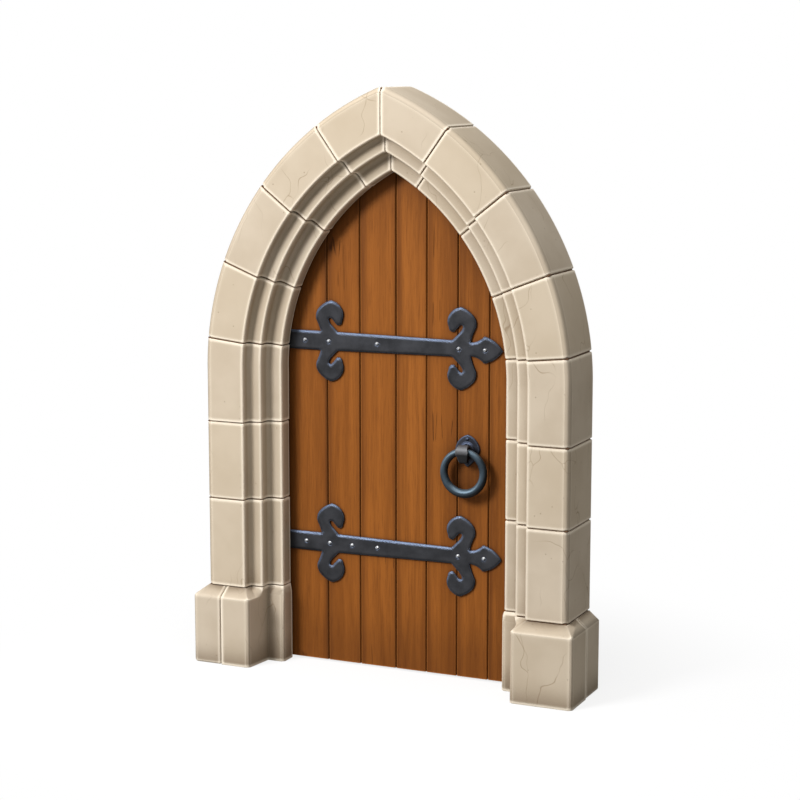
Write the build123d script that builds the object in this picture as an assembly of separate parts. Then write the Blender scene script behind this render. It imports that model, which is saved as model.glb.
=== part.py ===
from build123d import *
import os
from math import acos, cos, degrees, radians, sin, sqrt

# A pointed-arch doorway of cut stone with a plank door hung in its rear rebate.
# Millimetres. +X is to the right seen from the front, +Y runs through the wall to the back, +Z is up.
# The origin is on the floor, in the middle of the opening and half way between the front and the back.

# Stone surround: three orders, stepping in towards the door
OPENING_HALF = 500
ORDER_3_WIDTH = 68
ORDER_2_WIDTH = 60
ORDER_1_WIDTH = 178
REVEAL_1 = 46
REVEAL_2 = 56
REVEAL_3 = 66
ARRIS_OUTER = 22
ARRIS_INNER = 6
HOLLOW = 18

# Heights of the bed joints, and the arch
PLINTH_HEIGHT = 328
JAMB_1_HEIGHT = 374
JAMB_2_HEIGHT = 328
STRAIGHT_ABOVE_JAMB_2 = 219
ARCH_CENTRE = 446
JOINT_ANGLES = (6.1, 21.3, 38.0, 54.0)
JOINT = 4
JOINT_RECESS = 7
APEX_ROUND = 70

# Plinth
PLINTH_FRONT = 55
PLINTH_SIDE = 42
PLINTH_WEATHERING = 38
PLINTH_ARRIS = 12
FOOT_FRONT = 14
FOOT_REVEAL = 6
PLINTH_SPLIT_WIDTH = 130
PLINTH_SPLIT_DEPTH = 170

# Leaf in its rebate
LAP = 30
EDGE_GAP = 14
FLOOR_GAP = 8
STRAP_THICKNESS = 8
CHECK_CLEARANCE = 3
PLANK_THICKNESS = 50
LEDGE_THICKNESS = 37
REAR_SETBACK = 5
PLANK_JOINTS = (-326, -176, -13, 124, 261, 399)
PLANK_GAP = 3
PLANK_CHAMFER = 4
SHIPLAP = 12
SHIPLAP_PLAY = 1
LEDGE_HEIGHT = 120
LEDGE_SHORT = 70
LEDGE_CHAMFER = 10
HEAD_LEDGE_BELOW_APEX = 327

# Strap hinges
UPPER_STRAP_ABOVE_SPRINGING = 123
LOWER_STRAP_Z = 517
STRAP_HALF_ROOT = 39
STRAP_HALF_TIP = 32
STRAP_BEND = 6
LEFT_SCROLL_X = -315
RIGHT_SCROLL_X = 285
SCROLL_GRID = 1
SPEAR_NECK = 37
SPEAR_NECK_HALF = 27
SPEAR_ROOT = 27
SPEAR_WIDE = 93
SPEAR_HALF = 54
SPEAR_LENGTH = 173
SPEAR_SHOULDER_BULGE = 8
SPEAR_POINT_BULGE = 7
UPPER_NAILS_X = (-425, -315, -95, 268, 382)
LOWER_NAILS_X = (-425, -315, -211, -95, 268, 382)

# Pintles
PIN_RADIUS = 9
PIN_CLEARANCE = 0.08
PIN_ABOVE_EYE = 8
EYE_SETOFF = 1
WRAP_CLEARANCE = 2
EYE_SEAT_GAP = 0.3
TANG = 14
TANG_DEPTH = 110
LEAD_WALL = 5
SHOULDER_RADIUS = 15

# Nails
NAIL = 7
NAIL_HEAD_RADIUS = 8.5
NAIL_HEAD_HEIGHT = 5
NAIL_HEAD_SLOPE = 4
LEDGE_NAIL_SIDES = 4
STRAP_NAIL_SIDES = 8
ROVE = 18
ROVE_HEIGHT = 3
LEDGE_NAIL_BITE = 35
LEDGE_NAIL_STAGGER = 26
PLATE_NAIL_DEPTH = 25

# Ring handle
HANDLE_X = 308
HANDLE_Z = 960
PLATE_HALF = 54
PLATE_TOP = 63
PLATE_BOTTOM = 70
PLATE_THICKNESS = 8
PLATE_BEVEL = 3
PLATE_TOP_FULLNESS = 0.66
PLATE_SIDE_FULLNESS = 0.62
PLATE_POINT_FULLNESS = 0.55
PLATE_NAIL_INSET = 17
ROSE_RADIUS = 34
ROSE_HEIGHT = 8
ROSE_EASE = 6
RING_RADIUS = 86
RING_WIRE_TOP = 14
RING_WIRE_BOTTOM = 18
RING_CLEARANCE = 0.3
RING_STANDOFF = 46
BOSS_RADIUS = 27
BOSS_WIDTH = 56
BOSS_TOP_WIDTH = 40
BOSS_TAIL = 36
BOSS_TAIL_RADIUS = 12
BOSS_TAIL_WIDTH = 30
NECK_RADIUS = 20
BOLT_RADIUS = 10
BOLT_PLAY = 0.2
BOLT_END = 3
NUT = 32
NUT_HEIGHT = 10
WASHER_RADIUS = 23
WASHER_HEIGHT = 3
NUT_POCKET_PLAY = 3

# Worked out from the sizes above
ORDER_2_HALF = OPENING_HALF + ORDER_3_WIDTH
ORDER_1_HALF = ORDER_2_HALF + ORDER_2_WIDTH
OUTER_HALF = ORDER_1_HALF + ORDER_1_WIDTH
BEHIND_CHECK = CHECK_CLEARANCE + STRAP_THICKNESS + PLANK_THICKNESS + LEDGE_THICKNESS + REAR_SETBACK
DEPTH = REVEAL_1 + REVEAL_2 + REVEAL_3 + BEHIND_CHECK
FRONT = (PLINTH_FRONT - DEPTH) / 2
FACE_2 = FRONT + REVEAL_1
FACE_3 = FACE_2 + REVEAL_2
CHECK = FACE_3 + REVEAL_3
REAR = FRONT + DEPTH
LEAF_HALF = OPENING_HALF + LAP
REBATE_HALF = LEAF_HALF + EDGE_GAP
JAMB_1_TOP = PLINTH_HEIGHT + JAMB_1_HEIGHT
JAMB_2_TOP = JAMB_1_TOP + JAMB_2_HEIGHT
SPRINGING = JAMB_2_TOP + STRAIGHT_ABOVE_JAMB_2
LEAF_APEX = SPRINGING + sqrt((ARCH_CENTRE + LEAF_HALF) ** 2 - ARCH_CENTRE**2)
UPPER_STRAP_Z = SPRINGING + UPPER_STRAP_ABOVE_SPRINGING
STRAP_FRONT = CHECK + CHECK_CLEARANCE
PLANK_FRONT = STRAP_FRONT + STRAP_THICKNESS
PLANK_REAR = PLANK_FRONT + PLANK_THICKNESS
LEDGE_REAR = PLANK_REAR + LEDGE_THICKNESS
EYE_INNER = PIN_RADIUS + PIN_CLEARANCE
EYE_OUTER = EYE_INNER + STRAP_THICKNESS
HINGE_Y = PLANK_REAR + EYE_SETOFF + EYE_OUTER
JOINT_TURN = degrees(JOINT / 2 / (ARCH_CENTRE + OPENING_HALF))
RING_Y = PLANK_FRONT - RING_STANDOFF
PLATE_FRONT = PLANK_FRONT - PLATE_THICKNESS
ROSE_FRONT = PLATE_FRONT - ROSE_HEIGHT
HEAD_LEDGE_Z = LEAF_APEX - HEAD_LEDGE_BELOW_APEX
LEDGES = {"lower": LOWER_STRAP_Z, "middle": HANDLE_Z, "upper": UPPER_STRAP_Z, "head": HEAD_LEDGE_Z}
STRAPS = {"upper": (UPPER_STRAP_Z, UPPER_NAILS_X), "lower": (LOWER_STRAP_Z, LOWER_NAILS_X)}
PAST_APEX = 80
FAR = 4000


def half_width(at_springing, z):
    """Half the width at a height of an arched opening or leaf, from its half width at the springing."""
    return sqrt((ARCH_CENTRE + at_springing) ** 2 - max(z - SPRINGING, 0) ** 2) - ARCH_CENTRE


# The straps turn back clear of the rebate at the top edge of the upper one, where the arch has begun to close in
HANGING_EDGE = half_width(REBATE_HALF, UPPER_STRAP_Z + STRAP_HALF_ROOT) - WRAP_CLEARANCE
HINGE_X = EYE_OUTER - HANGING_EDGE


# Stone

def jamb_section(inset=0):
    """Plan section of the right-hand jamb and arch ring, flat at z = 0. An inset gives the mortar's section."""
    outline = [
        (OUTER_HALF, FRONT), (ORDER_1_HALF, FRONT), (ORDER_1_HALF, FACE_2), (ORDER_2_HALF, FACE_2),
        (ORDER_2_HALF, FACE_3), (OPENING_HALF, FACE_3), (OPENING_HALF, CHECK), (REBATE_HALF, CHECK),
        (REBATE_HALF, REAR), (OUTER_HALF, REAR),
    ]
    section = make_face(Polyline(*outline, close=True))
    if inset:
        return offset(section, -inset, kind=Kind.INTERSECTION)

    def corners(places):
        return [v for v in section.vertices() if any(abs(v.X - x) + abs(v.Y - y) < 0.01 for x, y in places)]

    section = chamfer(corners([outline[0]]), ARRIS_OUTER)
    section = chamfer(corners([outline[1], outline[3], outline[5]]), ARRIS_INNER)
    return fillet(corners([outline[2], outline[4]]), HOLLOW)


SECTION = jamb_section()
MORTAR_SECTION = jamb_section(JOINT_RECESS)
ARCH_AXIS = Axis((-ARCH_CENTRE, 0, SPRINGING), (0, -1, 0))


def straight_run(section, low, high):
    """A stretch of the jamb between two heights."""
    return extrude(Pos(0, 0, low) * section, high - low)


def ring_run(section, first, last):
    """A stretch of the right-hand arch ring between two angles above the springing."""
    placed = (Pos(0, 0, SPRINGING) * section).rotate(ARCH_AXIS, first)
    return revolve(placed, ARCH_AXIS, last - first)


def jamb_stones():
    """The right-hand jamb stones from the plinth up. The top one carries the first stretch of the curve."""
    half = JOINT / 2
    stones = [
        straight_run(SECTION, low + half, high - half)
        for low, high in ((PLINTH_HEIGHT, JAMB_1_TOP), (JAMB_1_TOP, JAMB_2_TOP))
    ]
    foot = straight_run(SECTION, JAMB_2_TOP + half, SPRINGING)
    return [*stones, foot + ring_run(SECTION, 0, JOINT_ANGLES[0] - JOINT_TURN)]


def arch_stones():
    """The right-hand arch stones, from the springer to the middle joint."""
    stones = [
        ring_run(SECTION, low + JOINT_TURN, high - JOINT_TURN)
        for low, high in zip(JOINT_ANGLES, JOINT_ANGLES[1:])
    ]
    crown = ring_run(SECTION, JOINT_ANGLES[-1] + JOINT_TURN, PAST_APEX)
    past_middle = Pos((JOINT - FAR) / 2, 0, 0) * Box(FAR, FAR, 2 * FAR)
    return [*stones, crown - past_middle - above_apex()]


def above_apex():
    """What the rounding of the arch's outer point takes off."""
    reach = ARCH_CENTRE + OUTER_HALF - APEX_ROUND
    height = SPRINGING + sqrt(reach**2 - ARCH_CENTRE**2)
    touch = APEX_ROUND * ARCH_CENTRE / reach
    block = Pos(0, 0, height + APEX_ROUND) * Box(2 * touch, FAR, 2 * APEX_ROUND)
    return block - Pos(0, 0, height) * Rot(90, 0, 0) * Cylinder(APEX_ROUND, FAR)


def plinth_block():
    """The right-hand plinth in one block: a projecting base, weathered back to the foot of the jamb."""
    front = FRONT - PLINTH_FRONT
    wide = OUTER_HALF + PLINTH_SIDE
    inner = ORDER_1_HALF - PLINTH_SIDE
    foot_front = FACE_3 - FOOT_FRONT
    foot_edge = ORDER_2_HALF
    opening = OPENING_HALF - FOOT_REVEAL

    def on_return(y):
        return inner + (foot_edge - inner) * (y - front) / (foot_front - front)

    base = [
        (wide, front), (inner, front), (on_return(FRONT), FRONT), (on_return(FACE_2), FACE_2),
        (foot_edge, foot_front), (opening, foot_front), (opening, CHECK), (REBATE_HALF, CHECK),
        (REBATE_HALF, REAR), (wide, REAR),
    ]
    top = [
        (OUTER_HALF, FRONT), (ORDER_1_HALF, FRONT), (ORDER_1_HALF, FACE_2), (ORDER_2_HALF, FACE_2),
        (ORDER_2_HALF, FACE_3), (OPENING_HALF, FACE_3), (OPENING_HALF, CHECK), (REBATE_HALF, CHECK),
        (REBATE_HALF, REAR), (OUTER_HALF, REAR),
    ]
    shoulder = PLINTH_HEIGHT - PLINTH_WEATHERING
    base_face = make_face(Polyline(*base, close=True))
    top_face = Pos(0, 0, PLINTH_HEIGHT - JOINT / 2) * make_face(Polyline(*top, close=True))
    block = extrude(base_face, shoulder) + loft([Pos(0, 0, shoulder) * base_face, top_face], ruled=True)
    eased = [(wide, front), (inner, front), (opening, foot_front)]
    rounded = [v for v in base_face.vertices() if any(abs(v.X - x) + abs(v.Y - y) < 0.01 for x, y in eased)]
    return block & extrude(chamfer(rounded, PLINTH_ARRIS), PLINTH_HEIGHT)


def halves(block, along, place):
    """A block sawn in two across a direction, with a joint's width lost. The half that lies further along is first."""
    reach = (FAR - JOINT) / 2
    sawn = []
    for side in (-1, 1):
        centre = [p + side * s * reach for p, s in zip(place, along)]
        sawn.append(block - Pos(*centre) * Box(FAR, FAR, FAR))
    return sawn


def mortar():
    """The mortar in every joint, set back from the faces."""
    half = JOINT / 2
    beds = [straight_run(MORTAR_SECTION, z - half, z + half) for z in (PLINTH_HEIGHT, JAMB_1_TOP, JAMB_2_TOP)]
    beds += [ring_run(MORTAR_SECTION, a - JOINT_TURN, a + JOINT_TURN) for a in JOINT_ANGLES]
    beds += [mirror(bed, about=Plane.YZ) for bed in beds]
    crown = ring_run(MORTAR_SECTION, JOINT_ANGLES[-1] + JOINT_TURN, PAST_APEX)
    beds.append(crown & Box(JOINT, FAR, 2 * FAR))
    block = plinth_block()
    low = Pos(0, 0, (PLINTH_HEIGHT - PLINTH_WEATHERING) / 2)
    split_x, split_y = plinth_splits()
    width = OUTER_HALF + PLINTH_SIDE - REBATE_HALF - 2 * JOINT_RECESS
    centre_x = (OUTER_HALF + PLINTH_SIDE + REBATE_HALF) / 2
    depth = DEPTH + PLINTH_FRONT - 2 * JOINT_RECESS
    height = PLINTH_HEIGHT - PLINTH_WEATHERING - 2 * JOINT_RECESS
    beds.append(block & low * Pos(centre_x, split_y, 0) * Box(width, JOINT, height))
    beds.append(low * Pos(split_x, 0, 0) * Box(JOINT, depth, height))
    return beds


def plinth_splits():
    """Where the left plinth is split across its width, and the right one across its depth."""
    return PLINTH_SPLIT_WIDTH - OUTER_HALF - PLINTH_SIDE, FRONT - PLINTH_FRONT + PLINTH_SPLIT_DEPTH


# Leaf

def leaf_outline():
    """The arched outline of the leaf, standing in the XZ plane at y = 0."""
    radius = ARCH_CENTRE + LEAF_HALF
    turn = acos(ARCH_CENTRE / radius) / 2
    haunch_x = radius * cos(turn) - ARCH_CENTRE
    haunch_z = SPRINGING + radius * sin(turn)
    edges = [
        Line((-LEAF_HALF, FLOOR_GAP), (LEAF_HALF, FLOOR_GAP)),
        Line((LEAF_HALF, FLOOR_GAP), (LEAF_HALF, SPRINGING)),
        ThreePointArc((LEAF_HALF, SPRINGING), (haunch_x, haunch_z), (0, LEAF_APEX)),
        ThreePointArc((0, LEAF_APEX), (-haunch_x, haunch_z), (-LEAF_HALF, SPRINGING)),
        Line((-LEAF_HALF, SPRINGING), (-LEAF_HALF, FLOOR_GAP)),
    ]
    return make_face(Curve() + edges)


def slab(outline, near, far):
    """An outline drawn flat, stood upright and given thickness between two depths."""
    return extrude(Pos(0, far, 0) * (Plane.XZ * outline), far - near)


def strip(left, right):
    """A tall strip between two widths, drawn flat."""
    return Pos((left + right) / 2, 0) * Rectangle(right - left, 2 * FAR)


def planks():
    """The boards, left to right, lapped behind each other so that no light shows."""
    leaf = leaf_outline()
    middle = (PLANK_FRONT + PLANK_REAR) / 2
    sides = [-FAR / 4, *PLANK_JOINTS, FAR / 4]
    boards = []
    for left, right in zip(sides, sides[1:]):
        near = slab(leaf & strip(left + PLANK_GAP / 2, right - PLANK_GAP / 2), PLANK_FRONT, middle)
        lap_left = left + SHIPLAP + SHIPLAP_PLAY / 2
        lap_right = right + SHIPLAP - SHIPLAP_PLAY / 2
        board = near + slab(leaf & strip(lap_left, lap_right), middle, PLANK_REAR)
        eased = [
            e for e in board.edges().filter_by(Axis.Z)
            if abs(e.center().Y - PLANK_FRONT) < 0.01 and abs(e.center().X) < LEAF_HALF - 1
        ]
        boards.append(chamfer(eased, PLANK_CHAMFER))
    return boards


def ledge_half(z):
    """How far a ledge at a height can reach and still clear the leaf's edge."""
    return half_width(LEAF_HALF, z + LEDGE_HEIGHT / 2) - LEDGE_SHORT


def ledge(z):
    """A ledge across the back of the planks, with its rear edges chamfered."""
    middle = (PLANK_REAR + LEDGE_REAR) / 2
    bar = Pos(0, middle, z) * Box(2 * ledge_half(z), LEDGE_THICKNESS, LEDGE_HEIGHT)
    return chamfer([e for e in bar.edges() if abs(e.center().Y - LEDGE_REAR) < 0.01], LEDGE_CHAMFER)


# Nails

def rod(x, near, far, z, radius):
    """A round bar running front to back."""
    return Pos(x, (near + far) / 2, z) * Rot(90, 0, 0) * Cylinder(radius, far - near)


def bar(x, near, far, z, width):
    """A square bar running front to back."""
    return Pos(x, (near + far) / 2, z) * Box(width, far - near, width)


def hammered_head(x, y, z, side, sides):
    """A nail's hammered head with this many sides on a face. Side is -1 to stand forward and 1 to stand back."""
    foot = RegularPolygon(NAIL_HEAD_RADIUS, sides)
    crest = RegularPolygon(NAIL_HEAD_RADIUS - NAIL_HEAD_SLOPE, sides)
    faces = [Pos(x, y + side * rise, z) * (Plane.XZ * f) for f, rise in ((foot, 0), (crest, NAIL_HEAD_HEIGHT))]
    return loft(faces, ruled=True)


def clench_nail(x, z):
    """A nail from the strap's face right through the leaf, riveted over a square rove on the ledge."""
    end = LEDGE_REAR + ROVE_HEIGHT
    head = hammered_head(x, STRAP_FRONT, z, -1, STRAP_NAIL_SIDES)
    return head + bar(x, STRAP_FRONT, end, z, NAIL) + bar(x, LEDGE_REAR, end, z, ROVE)


def plate_nail(x, z):
    """A nail through the handle plate that ends inside the plank."""
    shank = bar(x, PLATE_FRONT, PLANK_FRONT + PLATE_NAIL_DEPTH, z, NAIL)
    return hammered_head(x, PLATE_FRONT, z, -1, STRAP_NAIL_SIDES) + shank


def ledge_nail(x, z):
    """A nail driven from the back through a ledge into a plank."""
    head = hammered_head(x, LEDGE_REAR, z, 1, LEDGE_NAIL_SIDES)
    return head + bar(x, PLANK_REAR - LEDGE_NAIL_BITE, LEDGE_REAR, z, NAIL)


def plate_nail_places():
    """The handle plate is nailed near its top and near its point."""
    low = HANDLE_Z - PLATE_BOTTOM + PLATE_NAIL_INSET
    return [(HANDLE_X, HANDLE_Z + PLATE_TOP - PLATE_NAIL_INSET), (HANDLE_X, low)]


def ledge_nail_places():
    """One nail for each plank that each ledge crosses, staggered up and down."""
    places = []
    for z in LEDGES.values():
        reach = ledge_half(z)
        sides = [-reach, *[x for x in PLANK_JOINTS if abs(x) < reach - ROVE], reach]
        for number, (left, right) in enumerate(zip(sides, sides[1:])):
            stagger = LEDGE_NAIL_STAGGER if number % 2 else -LEDGE_NAIL_STAGGER
            places.append(((left + right + SHIPLAP) / 2, z + stagger))
    return places


# Strap hinges

def arcs_through(places):
    """A run of arcs. Each goes through three places in a row and starts where the last one ends."""
    return [ThreePointArc(*places[n:n + 3]) for n in range(0, len(places) - 2, 2)]


def scroll(x, side, up):
    """One forged scroll that curls away from the strap, drawn on a grid. Side and up are 1 or -1 and turn it over."""

    def place(*points):
        return [(x + side * p * SCROLL_GRID, up * q * SCROLL_GRID) for p, q in points]

    back = place((-34, 30), (-44, 62), (-57, 90), (-56, 116), (-40, 140), (-14, 159), (8, 168),
                 (38, 157), (60, 133), (66, 108), (60, 86))
    tip = place((60, 86), (54, 71), (38, 68))
    eye = place((38, 68), (28, 79), (16, 92), (6, 97), (-2, 90), (3, 77), (16, 62))
    root = Polyline(*place((16, 62), (48, 30), (0, 0), (-34, 30)))
    return make_face(Curve() + [*arcs_through(back), *arcs_through(tip), *arcs_through(eye), root])


def spear():
    """The pointed leaf at the strap's end."""
    root = RIGHT_SCROLL_X + SPEAR_ROOT
    wide = RIGHT_SCROLL_X + SPEAR_WIDE
    tip = RIGHT_SCROLL_X + SPEAR_LENGTH
    shoulder = ((root + wide) / 2 + SPEAR_SHOULDER_BULGE, SPEAR_NECK_HALF + SPEAR_SHOULDER_BULGE)
    flank = ((wide + tip) / 2 + SPEAR_POINT_BULGE, SPEAR_HALF / 2 + SPEAR_POINT_BULGE)
    edges = []
    for up in (1, -1):
        run = [(root, SPEAR_NECK_HALF), shoulder, (wide, SPEAR_HALF), flank, (tip, 0)]
        edges.append(Line((RIGHT_SCROLL_X, 0), (root, up * SPEAR_NECK_HALF)))
        edges += arcs_through([(along, up * rise) for along, rise in run])
    return make_face(Curve() + edges)


def strap_face():
    """The flat outline of a strap from the hanging edge to the spear, with its axis at height 0."""
    outline = [
        (-HANGING_EDGE, STRAP_HALF_ROOT), (LEFT_SCROLL_X, STRAP_HALF_ROOT),
        (RIGHT_SCROLL_X, STRAP_HALF_TIP), (RIGHT_SCROLL_X + SPEAR_NECK, SPEAR_NECK_HALF),
    ]
    mirrored = [(x, -z) for x, z in reversed(outline)]
    face = make_face(Polyline(*outline, *mirrored, close=True)) + spear()
    for up in (1, -1):
        face += scroll(LEFT_SCROLL_X, 1, up)
        face += scroll(RIGHT_SCROLL_X, -1, up)
    return face


def strap_hinge(z, nails_x):
    """A strap, turned round the leaf's hanging edge and closed on itself as an eye for the pintle."""
    strap = slab(Pos(0, z) * strap_face(), STRAP_FRONT, PLANK_FRONT)
    left = -HANGING_EDGE
    height = 2 * STRAP_HALF_ROOT
    wrap = Pos(left + STRAP_THICKNESS / 2, (STRAP_FRONT + HINGE_Y) / 2, z) * Box(
        STRAP_THICKNESS, HINGE_Y - STRAP_FRONT, height)
    hinge = strap + wrap + Pos(HINGE_X, HINGE_Y, z) * Cylinder(EYE_OUTER, height)
    bend = Pos(left, STRAP_FRONT, z - height) * (
        Pos(STRAP_BEND / 2, STRAP_BEND / 2) * Rectangle(STRAP_BEND, STRAP_BEND)
        - Pos(STRAP_BEND, STRAP_BEND) * Circle(STRAP_BEND))
    hinge -= extrude(bend, 2 * height)
    hinge -= Pos(HINGE_X, HINGE_Y, z) * Cylinder(EYE_INNER, 2 * height)
    for x in nails_x:
        hinge -= bar(x, CHECK, PLANK_REAR, z, NAIL)
    return hinge


def tang_level(z):
    """The height of the middle of a pintle's tang, under the eye of the strap at a height."""
    return z - STRAP_HALF_ROOT - EYE_SEAT_GAP - TANG / 2


def pintle(z):
    """The hook under a strap's eye: an upright pin on a tang that runs sideways into the jamb."""
    level = tang_level(z)
    low = level - TANG / 2
    top = z + STRAP_HALF_ROOT + PIN_ABOVE_EYE
    pin = Pos(HINGE_X, HINGE_Y, (low + top) / 2) * Cylinder(PIN_RADIUS, top - low)
    pin = chamfer(pin.edges().sort_by(Axis.Z)[-1], PIN_RADIUS / 3)
    shoulder = Pos(HINGE_X, HINGE_Y, level) * Cylinder(SHOULDER_RADIUS, TANG)
    end = -REBATE_HALF - TANG_DEPTH
    return pin + shoulder + Pos((HINGE_X + end) / 2, HINGE_Y, level) * Box(HINGE_X - end, TANG, TANG)


def tang_socket(z):
    """The hole cut in the jamb for a pintle's tang and the lead round it."""
    width = TANG + 2 * LEAD_WALL
    near = half_width(REBATE_HALF, tang_level(z) + width / 2)
    far = REBATE_HALF + TANG_DEPTH + LEAD_WALL
    return Pos(-(near + far) / 2, HINGE_Y, tang_level(z)) * Box(far - near, width, width)


def strap_housing(z):
    """The notch in the leaf's hanging edge that a strap turns back in."""
    return Pos(STRAP_THICKNESS - HANGING_EDGE - FAR / 2, HINGE_Y, z) * Box(FAR, DEPTH, 2 * STRAP_HALF_ROOT)


# Ring handle

def handle_plate():
    """The leaf-shaped plate behind the ring, with a raised round rose that the ring's eye seats on."""
    upper = (PLATE_HALF * PLATE_TOP_FULLNESS, PLATE_TOP * PLATE_TOP_FULLNESS)
    lower = (PLATE_HALF * PLATE_SIDE_FULLNESS, -PLATE_BOTTOM * PLATE_POINT_FULLNESS)
    half = [(0, PLATE_TOP), upper, (PLATE_HALF, 0), lower, (0, -PLATE_BOTTOM)]
    edges = [arc for flip in (1, -1) for arc in arcs_through([(flip * across, rise) for across, rise in half])]
    outline = Pos(HANDLE_X, HANDLE_Z) * make_face(Curve() + edges)
    plate = slab(outline, PLATE_FRONT, PLANK_FRONT)
    plate = chamfer([e for e in plate.edges() if abs(e.center().Y - PLATE_FRONT) < 0.01], PLATE_BEVEL)
    rose = rod(HANDLE_X, ROSE_FRONT, PLANK_FRONT, HANDLE_Z, ROSE_RADIUS)
    rose = chamfer(rose.edges().filter_by(GeomType.CIRCLE).sort_by(Axis.Y)[0], ROSE_EASE)
    plate = plate + rose - rod(HANDLE_X, RING_Y, PLANK_REAR, HANDLE_Z, BOLT_RADIUS + BOLT_PLAY)
    for x, z in plate_nail_places():
        plate -= bar(x, ROSE_FRONT, PLANK_REAR, z, NAIL)
    return plate


def ring_bore():
    """The belled hole that the ring needs to turn in the eye, along X through the origin."""
    inner = RING_RADIUS - RING_WIRE_TOP - RING_CLEARANCE - bore_growth()
    reach = BOSS_WIDTH / 2 + 1
    mouth = RING_RADIUS - sqrt(inner**2 - reach**2)
    waist = RING_RADIUS - inner
    flare = ThreePointArc((-reach, mouth), (0, waist), (reach, mouth))
    return revolve(make_face(Curve() + [flare, Polyline((reach, mouth), (reach, 0), (-reach, 0), (-reach, mouth))]),
                   Axis.X, 360)


def bore_growth():
    """How much thicker the ring is at the eye's mouth than at its top."""
    turn = degrees(BOSS_WIDTH / 2 / (RING_RADIUS - RING_WIRE_BOTTOM))
    return (RING_WIRE_BOTTOM - RING_WIRE_TOP) * turn / 180


def ring_eye():
    """The eye that holds the ring, forged in one with the bolt that runs through the leaf."""
    top = Circle(BOSS_RADIUS)
    tail = Pos(0, -BOSS_TAIL) * Circle(BOSS_TAIL_RADIUS)
    side_view = make_hull([*top.edges(), *tail.edges()])
    solid = extrude(Plane.YZ * side_view, BOSS_WIDTH / 2, both=True)
    low = -BOSS_TAIL - BOSS_TAIL_RADIUS
    front_view = make_face(Polyline(
        (-BOSS_WIDTH / 2, 0), (-BOSS_TOP_WIDTH / 2, BOSS_RADIUS), (BOSS_TOP_WIDTH / 2, BOSS_RADIUS),
        (BOSS_WIDTH / 2, 0), (BOSS_TAIL_WIDTH / 2, low), (-BOSS_TAIL_WIDTH / 2, low), close=True))
    eye = solid & extrude(Plane.XZ * front_view, BOSS_RADIUS, both=True)
    neck = rod(0, 0, ROSE_FRONT - RING_Y, 0, NECK_RADIUS)
    shank = rod(0, ROSE_FRONT - RING_Y, bolt_end() - RING_Y, 0, BOLT_RADIUS)
    return Pos(HANDLE_X, RING_Y, HANDLE_Z) * (eye + neck - ring_bore() + shank)


def bolt_end():
    """The depth that the bolt's end reaches, level with the back of the ledge."""
    return LEDGE_REAR


def pocket_floor():
    """The depth of the floor of the pocket that the washer and nut sit in."""
    return LEDGE_REAR - BOLT_END - NUT_HEIGHT - WASHER_HEIGHT


def nut_pocket():
    """The pocket in the middle ledge for the washer and nut."""
    return rod(HANDLE_X, pocket_floor(), REAR, HANDLE_Z, WASHER_RADIUS + NUT_POCKET_PLAY)


def bolt_washer():
    """The round washer under the nut."""
    near = pocket_floor()
    washer = rod(HANDLE_X, near, near + WASHER_HEIGHT, HANDLE_Z, WASHER_RADIUS)
    return washer - rod(HANDLE_X, PLANK_REAR, REAR, HANDLE_Z, BOLT_RADIUS + BOLT_PLAY)


def bolt_nut():
    """The square nut that holds the ring's eye."""
    near = pocket_floor() + WASHER_HEIGHT
    nut = bar(HANDLE_X, near, near + NUT_HEIGHT, HANDLE_Z, NUT)
    return nut - rod(HANDLE_X, PLANK_REAR, REAR, HANDLE_Z, BOLT_RADIUS)


def ring():
    """The ring, hanging in its eye and thickening towards the bottom."""
    half_path = ThreePointArc((0, RING_RADIUS), (RING_RADIUS, 0), (0, -RING_RADIUS))
    sections = []
    for along in (0, 0.5, 1):
        radius = RING_WIRE_TOP + (RING_WIRE_BOTTOM - RING_WIRE_TOP) * along
        place = Plane(half_path @ along, z_dir=half_path % along)
        sections.append(place * Circle(radius))
    half = sweep(sections, half_path, multisection=True)
    whole = half + mirror(half, about=Plane.YZ)
    return Pos(HANDLE_X, RING_Y, HANDLE_Z - RING_RADIUS) * (Rot(90, 0, 0) * whole)


# Assembly

def stone_pieces():
    """Every stone under its name, with the sockets for the pintles cut in the left jamb."""
    pieces = {}
    for kind, stones in (("jamb_stone", jamb_stones()), ("arch_stone", arch_stones())):
        for number, stone in enumerate(stones, 1):
            pieces[f"{kind}_right_{number}"] = stone
            pieces[f"{kind}_left_{number}"] = mirror(stone, about=Plane.YZ)
    for z in (LOWER_STRAP_Z, UPPER_STRAP_Z):
        socket = tang_socket(z)
        for number in (1, 2, 3):
            pieces[f"jamb_stone_left_{number}"] -= socket
    block = plinth_block()
    split_x, split_y = plinth_splits()
    rear, front = halves(block, (0, 1, 0), (0, split_y, 0))
    inner, outer = halves(mirror(block, about=Plane.YZ), (1, 0, 0), (split_x, 0, 0))
    pieces["plinth_stone_right_front"] = front
    pieces["plinth_stone_right_rear"] = rear
    pieces["plinth_stone_left_outer"] = outer
    pieces["plinth_stone_left_inner"] = inner
    pieces["mortar"] = Compound(children=mortar())
    return pieces


def hinge_pieces():
    """The straps, their nails, and the pintles leaded into the jamb."""
    pieces = {}
    for name, (z, nails_x) in STRAPS.items():
        pieces[f"strap_hinge_{name}"] = strap_hinge(z, nails_x)
        pieces[f"strap_nails_{name}"] = Compound(children=[clench_nail(x, z) for x in nails_x])
        pieces[f"pintle_{name}"] = pintle(z)
        pieces[f"pintle_lead_{name}"] = tang_socket(z) - pintle(z)
    return pieces


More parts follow.
